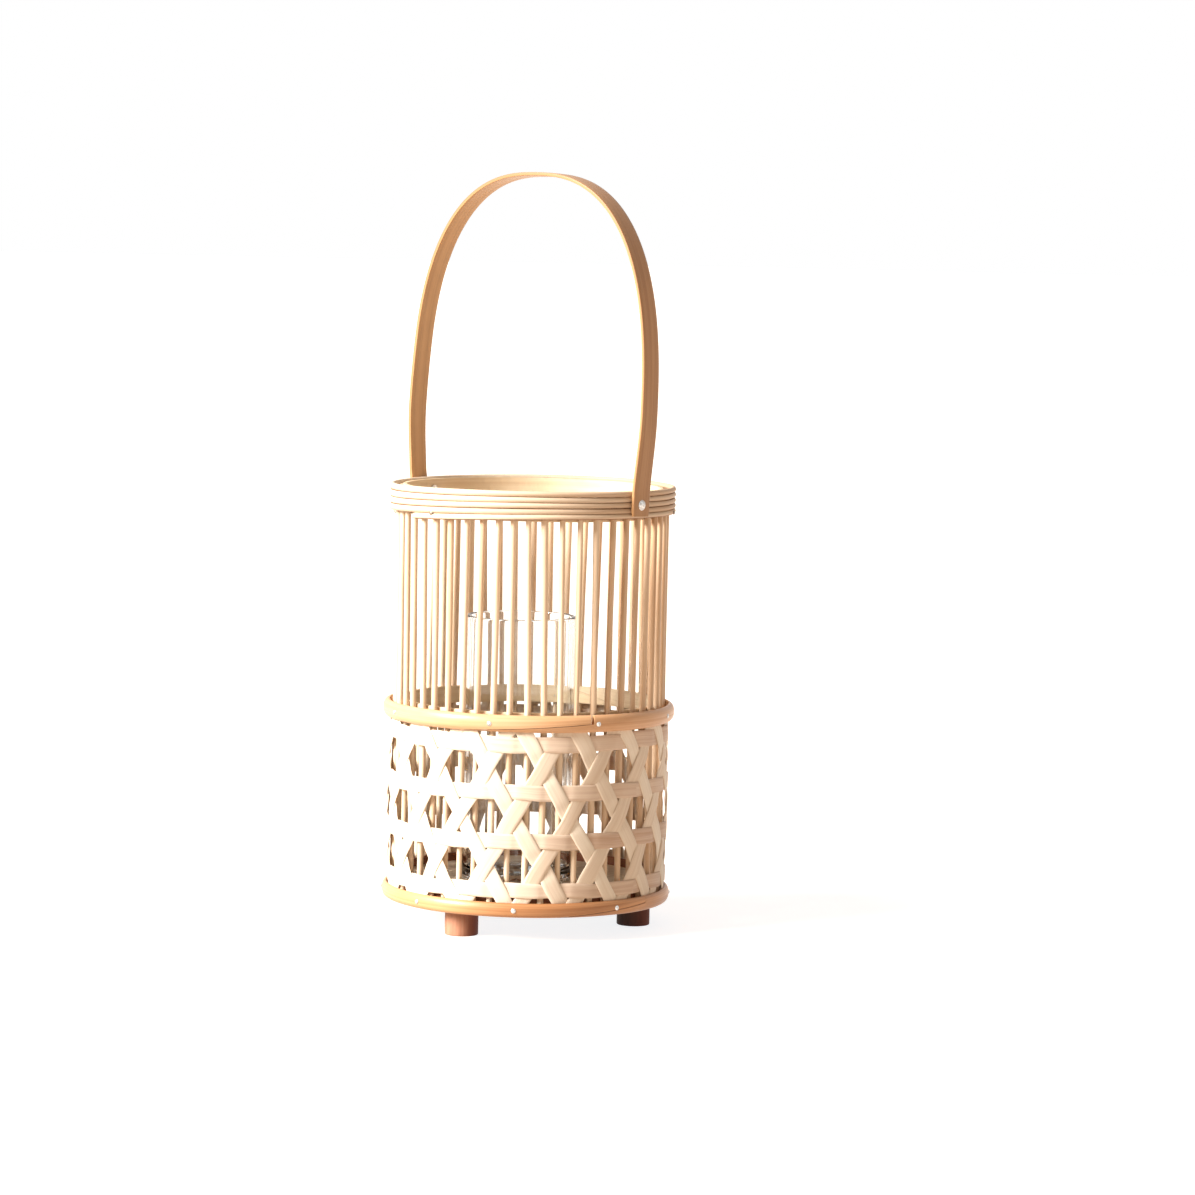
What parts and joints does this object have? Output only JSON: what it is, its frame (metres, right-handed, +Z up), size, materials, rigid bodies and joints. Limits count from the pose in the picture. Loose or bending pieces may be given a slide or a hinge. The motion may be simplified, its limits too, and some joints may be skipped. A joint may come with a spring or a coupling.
{
  "type": "bamboo lantern",
  "caption": "Round bamboo candle lantern: upright rods in a bound rim, an open woven skirt, short feet, a swinging bail handle and a loose glass cup.",
  "frame": {"origin": "on the ground, under the centre of the basket's outer box", "axes": "+Z up; the handle's rivets lie along X, the right rivet at +X; -Y is the front, towards which the positive handle swing goes"},
  "size_m": [0.2228, 0.2134, 0.5493],
  "materials": {
    "handle_bamboo": "smooth split bamboo, caramel tan",
    "rattan": "peeled cane, pale cream",
    "stake_bamboo": "round split bamboo, cream to tan",
    "hoop_bamboo": "bent bamboo strip, honey tan, lightly lacquered",
    "dark_band_bamboo": "bent bamboo strip, reddish brown",
    "weave_bamboo": "thin split bamboo, pale cream, matte",
    "board_wood": "plain board, beige grey",
    "foot_wood": "dowel, reddish brown",
    "clear_glass": "clear blown glass",
    "steel": "bright nail steel"
  },
  "bodies": {
    "basket": {"rivet_right": "steel", "rivet_left": "steel", "rivet_washer_right": "steel", "rivet_washer_left": "steel", "rim_course_1": "rattan", "rim_course_2": "rattan", "rim_course_3": "rattan", "rim_course_4": "rattan", "rim_course_5": "rattan", "rim_band": "hoop_bamboo", "waist_hoop": "hoop_bamboo", "waist_band": "hoop_bamboo", "base_hoop": "hoop_bamboo", "base_band": "dark_band_bamboo", "base_board": "board_wood", "foot_1": "foot_wood", "foot_2": "foot_wood", "foot_3": "foot_wood", "foot_screws": "steel", "rim_tacks": "steel", "waist_tacks": "steel", "base_tacks": "steel", "stakes_1": "stake_bamboo", "stakes_2": "stake_bamboo", "stakes_3": "stake_bamboo", "stakes_4": "stake_bamboo", "stakes_5": "stake_bamboo", "stakes_6": "stake_bamboo", "stakes_7": "stake_bamboo", "stakes_8": "stake_bamboo", "stakes_9": "stake_bamboo", "stakes_10": "stake_bamboo", "weave_ring_1": "weave_bamboo", "weave_ring_2": "weave_bamboo", "weave_ring_3": "weave_bamboo", "weave_ring_4": "weave_bamboo", "weave_right_1": "weave_bamboo", "weave_right_2": "weave_bamboo", "weave_right_3": "weave_bamboo", "weave_right_4": "weave_bamboo", "weave_right_5": "weave_bamboo", "weave_right_6": "weave_bamboo", "weave_right_7": "weave_bamboo", "weave_right_8": "weave_bamboo", "weave_left_1": "weave_bamboo", "weave_left_2": "weave_bamboo", "weave_left_3": "weave_bamboo", "weave_left_4": "weave_bamboo", "weave_left_5": "weave_bamboo", "weave_left_6": "weave_bamboo", "weave_left_7": "weave_bamboo", "weave_left_8": "weave_bamboo"},
    "handle": {"handle": "handle_bamboo"},
    "glass_cup": {"glass_cup": "clear_glass"}
  },
  "joints": [
    {"name": "handle_swing", "type": "hinge", "parent": "basket", "child": "handle", "pos_m": [0, -0.00613, 0.3132], "axis": [1, 0, 0], "range_deg": [-144, 150]},
    {"name": "glass_lift", "type": "slide", "parent": "basket", "child": "glass_cup", "axis": [0, 0, 1], "range_m": [0, 0.3]}
  ]
}
